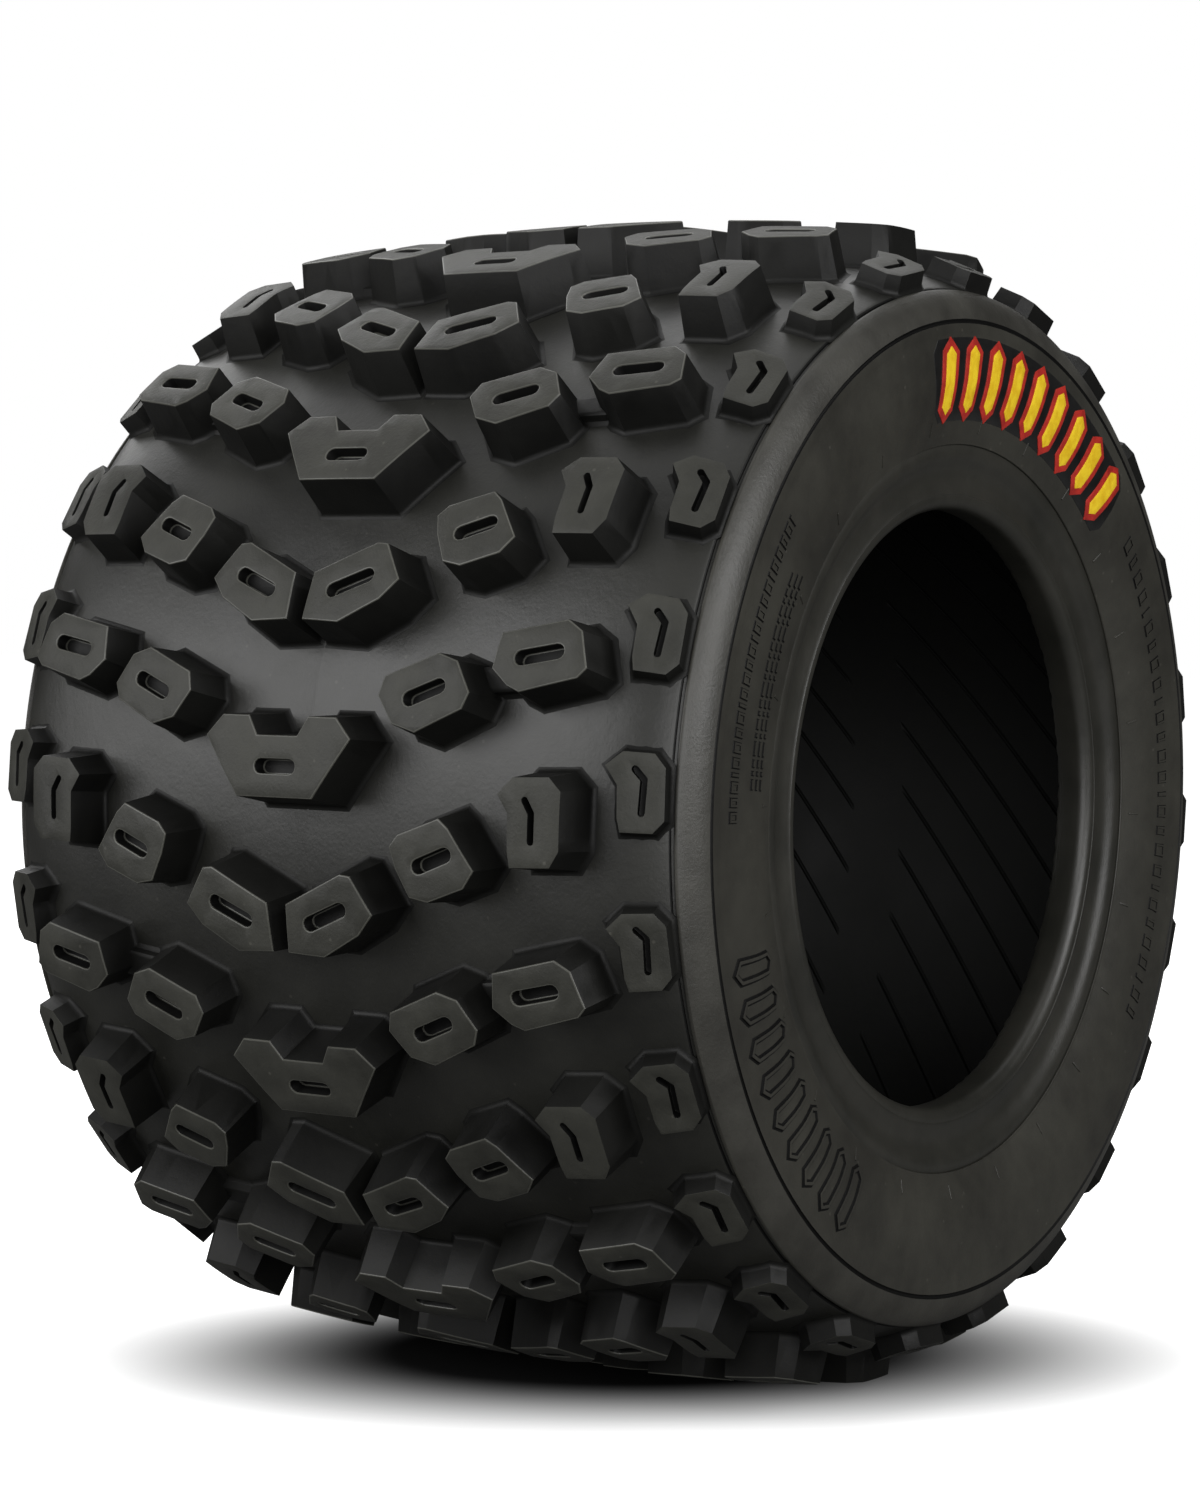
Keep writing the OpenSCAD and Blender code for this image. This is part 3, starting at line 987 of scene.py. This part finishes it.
middle = tread_knob("middle", middle_outline, middle_place, [(-2.4, -5.8), (2.4, 5.8)])
outer = tread_knob("outer", outer_outline, outer_place, [(-1.4, -6.8), (1.4, 6.8)])
tie_levels = [
    (-sunk, 2.2),
    (0, 1.9),
    (0.4, 1.1),
    (1.2, 0.4),
    (tie_h - 0.8, 0.1),
    (tie_h - 0.2, -0.5),
    (tie_h, -1.4),
]
tie = block("tie", tie_outline, tie_levels)
# every face of a tie keeps the first, the wall rubber darkened as painted shade
for material in (wall_rubber_shaded, edge_rubber_highlit, top_rubber_lit, hollow_rubber_shaded):
    tie.data.materials.append(material)
# a tie follows the band all the way up, as if its top were far above it
far_above = 100
seat_on_tread(sliced(tie, slice_gap, 18.0), tie_place, tie_h + far_above)
slant = tread_knob("slant", slant_outline, slant_place, [(-2.2, -6.4), (2.2, 4.6)])
hooked = tread_knob(
    "hooked", hooked_outline, hooked_place, [(-6.6, 0), (3, 0.2), (7.4, -2.4)], sipe_w
)
side_knob = seat_on_shoulder(
    flat_knob(
        "side", side_outline, side_knob_h, [(-6.7, 0.5), (4.6, 1), (8, -2.2)], sipe_w, 4.0
    ),
    side_knob_h,
)

families = (
    ("linked", [middle, outer, tie], pitches),
    ("slant", [slant], pitches),
    ("hooked", [hooked], pitches),
    ("side", [side_knob], 2 * pitches),
)
for family, models, count in families:
    right = [other_side(one) for one in models]
    for side, starts in (("left", models), ("right", right)):
        blocks = [piece for one in starts for piece in copies(one, count)]
        named = joined(family + "_knob_blocks_" + side, blocks)
        placed(named, "knob_rubber", family + "_knobs_" + side)

# ---- Markings on the sidewalls ----


def seat_on_side(obj, turn, radius, side):
    """Bends a flat marking round a sidewall: its U goes round, its V outwards from a radius."""
    u, v, h = flat_places(obj).T
    r = radius + v
    lift = np.array([side_y(one) for one in r]) + h
    angle = math.radians(turn) + u / radius
    away = 1 if side == "left" else -1
    places = np.stack([-r * np.cos(angle), away * lift, r * np.sin(angle)], 1)
    moved_to(obj, places)
    edit(obj)
    bpy.ops.mesh.normals_make_consistent(inside=False)
    return done(obj)


def plain(name, corners, levels, materials, cuts=0.0):
    """A flat marking with its materials, cut across at a spacing so that it can bend."""
    obj = block(name, corners, levels)
    for material in materials:
        obj.data.materials.append(material)
    return sliced(obj, cuts, 100.0) if cuts else obj


mark_bars = 9
mark_from = 82
mark_to = 131
mark_turns = [mark_from + (mark_to - mark_from) * i / (mark_bars - 1) for i in range(mark_bars)]
mark_r = 163.5  # the middle of the painted and raised bars
bar_shape = [(-3.6, -10.0), (0.4, -13.6), (4.4, -10.6), (8.4, 9.6), (4.6, 13.4), (0.4, 10.2)]

ground_shape = [
    (-80, -11), (-76, -15.5), (76, -15.5), (80, -11),
    (80, 11), (76, 15.5), (-76, 15.5), (-80, 11),
]
ground_levels = [(-0.4, 0.2), (0.12, 0.0), (0.2, -0.3)]
ground_turn = 107.3
ground = plain("marking_ground", ground_shape, ground_levels, [ground_paint], 4.0)
seat_on_side(ground, ground_turn, mark_r, "right")
placed(smooth(ground), "mark_paint")

border_levels = [(-0.4, 2.0), (0.42, 2.0), (0.5, 1.8)]
face_levels = [(-0.3, -0.6), (0.66, -0.6), (0.74, -0.8)]
paints = [red_paint, yellow_paint]
bars = []
for turn in mark_turns:
    border = plain("border", bar_shape, border_levels, paints, 3.0)
    face = plain("face", bar_shape, face_levels, paints, 3.0)
    for one in face.data.polygons:
        one.material_index = 1
    bars += [seat_on_side(one, turn, mark_r, "right") for one in (border, face)]
placed(joined("painted_bars", bars), "mark_paint", "side_mark")

# Raised hollow bars where a tyre has its large moulded marking
relief_levels = [
    (-0.5, 1.0),
    (0.0, 0.95),
    (0.17, 0.3),
    (0.72, 0.15),
    (0.76, 0.0),
    (0.76, -1.1),
    (0.7, -1.25),
    (0.2, -1.4),
    (0.03, -2.0),
]
top_facing = 0.985  # a face is a marking's top if its normal stands up at least this much


def raised_mark(name, corners, levels, cuts=0.0):
    """A raised marking whose sloping sides are dark, as painted shade at its foot."""
    obj = plain(name, corners, levels, [rubber_side, hollow_rubber_shaded], cuts)
    for face in obj.data.polygons:
        face.material_index = 0 if face.normal.z > top_facing else 1
    return obj


raised = []
for turn in range(-57, -14, 5):
    bar = raised_mark("bar", bar_shape, relief_levels, 4.0)
    raised.append(seat_on_side(bar, turn, mark_r, "right"))

# Rows of short plain dashes where it has its small moulded markings
dash_levels = [(-0.4, 0.5), (0.0, 0.45), (0.16, 0.1), (0.55, 0.0)]
hollow_levels = dash_levels + [(0.55, -0.75), (0.12, -0.85)]


def dash_row(side, start, end, radius, tall, lengths, gap):
    """Raised dashes round a sidewall, of lengths that repeat in turn."""
    made, at, i = [], start, 0
    while at < end:
        length = lengths[i % len(lengths)]
        corners = [(0, -tall / 2), (length, -tall / 2), (length, tall / 2), (0, tall / 2)]
        levels = hollow_levels if min(length, tall) > 2.5 else dash_levels
        dash = raised_mark("dash", corners, levels)
        made.append(seat_on_side(dash, at, radius, side))
        at += math.degrees((length + gap) / radius)
        i += 1
    return made


raised += dash_row("right", 2, 40, 172.0, 4.6, (3.4, 2.8, 3.6, 1.0, 3.2), 2.0)
for radius in (152.0, 156.0, 160.0):
    raised += dash_row("right", 6, 35, radius, 1.5, (3.2, 1.0, 2.2, 4.6, 1.0), 1.8)
raised += dash_row("right", 142, 214, 166.0, 7.0, (4.6, 3.2, 4.8, 4.4, 1.4), 4.2)
placed(joined("raised_marks_right", raised), "sidewall_rubber")

left_marks = []
for start in (20, 140, 260):
    left_marks += dash_row("left", start, start + 46, 151.5, 4.0, (3.4, 2.8, 3.6, 1.0, 3.2), 2.2)
placed(joined("raised_marks_left", left_marks), "sidewall_rubber")

# Vent ribs across the rim line and the small stubs that the mould's vents leave
rib_shape = [(-0.4, -2.6), (0.4, -2.6), (0.4, 2.6), (-0.4, 2.6)]
rib_levels = [(-0.5, 0.1), (0.3, 0.0), (0.42, -0.2)]
rib_count = 24
rib_r = 146.0
stub_shape = [(0.6 * math.cos(a), 0.6 * math.sin(a)) for a in np.arange(8) * math.pi / 4]
stub_levels = [(-0.5, 0.0), (0.5, 0.0), (0.7, -0.2)]
stub_count = 12
stub_r = 188.0
for side in ("left", "right"):
    vents = []
    for i in range(rib_count):
        rib = plain("rib", rib_shape, rib_levels, [rubber_side])
        vents.append(seat_on_side(rib, 360 / rib_count * i + 4, rib_r, side))
    for i in range(stub_count):
        stub = plain("stub", stub_shape, stub_levels, [rubber_side])
        vents.append(seat_on_side(stub, 360 / stub_count * i + 11, stub_r, side))
    placed(joined("vent_marks_" + side, vents), "sidewall_rubber")

# ---- Layers inside ----

finishes = {
    "casing_ply_1": ply_cord,
    "casing_ply_2": ply_cord,
    "tread_cushion": filler_rubber,
    "bead_filler_left": filler_rubber,
    "bead_filler_right": filler_rubber,
    "bead_wrap_left": wrap_tape,
    "bead_wrap_right": wrap_tape,
    "bead_wires_left": bead_steel,
    "bead_wires_right": bead_steel,
}
for node, material in finishes.items():
    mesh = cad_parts[node].data
    mesh.materials.clear()
    mesh.materials.append(material)

# ---- Studio ----

floor_z = cad_box[0][2]
bpy.ops.object.select_all(action="DESELECT")
bpy.ops.mesh.primitive_plane_add(size=14, location=(0, 0, floor_z))
floor = bpy.context.object
floor.name = "studio_floor"
bpy.ops.object.transform_apply(location=True)
floor_finish = bpy.data.materials.new("white_studio_paper")
floor_finish.use_nodes = True
sheet = floor_finish.node_tree
paper = sheet.nodes["Principled BSDF"]
paper.inputs["Roughness"].default_value = 0.9
paper.inputs["Specular IOR Level"].default_value = 0.1
# the paper glows away from the tyre, a painted glow standing in for an evenly lit sweep
spot = add(sheet, "ShaderNodeTexCoord").outputs["Object"]
# measured in a long ellipse that lies across the view
ellipse = add(
    sheet,
    "ShaderNodeMapping",
    {"vector_type": "TEXTURE", "Rotation": (0, 0, math.radians(-56.3)), "Scale": (0.27, 0.16, 1)},
    {"Vector": spot},
)
away = add(sheet, "ShaderNodeVectorMath", {"operation": "LENGTH"}, {0: ellipse.outputs[0]})
lit = add(
    sheet,
    "ShaderNodeMapRange",
    {"interpolation_type": "SMOOTHSTEP", "From Min": 0.42, "From Max": 1.15},
    {"Value": away.outputs["Value"]},
)
# and a painted contact shadow darkens it where the tyre stands
shade = add(sheet, "ShaderNodeValToRGB", None, {"Fac": lit.outputs[0]})
shade.color_ramp.elements[0].color = linear("#121212")
shade.color_ramp.elements[1].color = linear("#f0f0f0")
sheet.links.new(shade.outputs["Color"], paper.inputs["Base Color"])
glow = add(sheet, "ShaderNodeEmission", None, {"Strength": lit.outputs[0]})
lit_paper = add(sheet, "ShaderNodeAddShader", None, {0: paper.outputs[0], 1: glow.outputs[0]})
dim = add(sheet, "ShaderNodeBsdfDiffuse", {"Color": linear("#6a6a6a")})
direct = add(sheet, "ShaderNodeLightPath").outputs["Is Camera Ray"]
either = add(
    sheet,
    "ShaderNodeMixShader",
    None,
    {0: direct, 1: dim.outputs[0], 2: lit_paper.outputs[0]},
)
sheet.links.new(either.outputs[0], sheet.nodes["Material Output"].inputs["Surface"])
floor.data.materials.append(floor_finish)

world = bpy.data.worlds.new("studio")
bpy.context.scene.world = world
world.use_nodes = True
sky = world.node_tree
background = sky.nodes["Background"]
seen = add(sky, "ShaderNodeLightPath").outputs["Is Camera Ray"]
white = add(sky, "ShaderNodeBackground", {"Color": (1, 1, 1, 1), "Strength": 1.0})
mix = add(
    sky,
    "ShaderNodeMixShader",
    None,
    {0: seen, 1: background.outputs[0], 2: white.outputs[0]},
)
background.inputs["Color"].default_value = (1.0, 0.985, 0.96, 1)
background.inputs["Strength"].default_value = 0.04
sky.links.new(mix.outputs[0], sky.nodes["World Output"].inputs["Surface"])


def softbox(name, place, aim, width, height, power):
    """A rectangular area light that points at a place."""
    lamp = bpy.data.lights.new(name, "AREA")
    lamp.shape = "RECTANGLE"
    lamp.size, lamp.size_y, lamp.energy = width, height, power
    obj = bpy.data.objects.new(name, lamp)
    bpy.context.scene.collection.objects.link(obj)
    obj.location = place
    obj.rotation_euler = (Vector(aim) - Vector(place)).to_track_quat("-Z", "Y").to_euler()
    return obj


softbox("key_softbox", (-1.9, 1.15, 0.7), (0, 0, 0), 2.0, 1.5, 38)
softbox("front_softbox", (-1.9, -1.5, 0.35), (0, 0, 0), 1.6, 1.6, 31)
softbox("overhead_softbox", (0.0, 0.1, 1.9), (0, 0, 0), 2.2, 2.2, 16)
softbox("side_softbox", (-0.2, -2.4, 0.9), (0, -0.1, 0), 1.6, 1.4, 38)
softbox("back_softbox", (1.5, 0.6, 1.8), (0, 0, 0), 1.6, 1.2, 11)
softbox("far_side_softbox", (0.7, 1.9, 1.5), (0, 0.1, 0), 1.4, 1.2, 17)

camera_az = math.radians(-56.27)
camera_el = math.radians(3.89)
camera_away = 1.472
camera_data = bpy.data.cameras.new("camera")
camera_data.sensor_width = 36
camera_data.lens = 87.26
camera_data.shift_x = -0.0215
camera_data.shift_y = 0.0299
camera_data.clip_end = 50
camera = bpy.data.objects.new("camera", camera_data)
bpy.context.scene.collection.objects.link(camera)
camera.location = camera_away * Vector(
    (
        math.sin(camera_az) * math.cos(camera_el),
        -math.cos(camera_az) * math.cos(camera_el),
        math.sin(camera_el),
    )
)
camera.rotation_euler = (-camera.location).to_track_quat("-Z", "Y").to_euler()
bpy.context.scene.camera = camera
bpy.context.scene.view_settings.view_transform = "Standard"
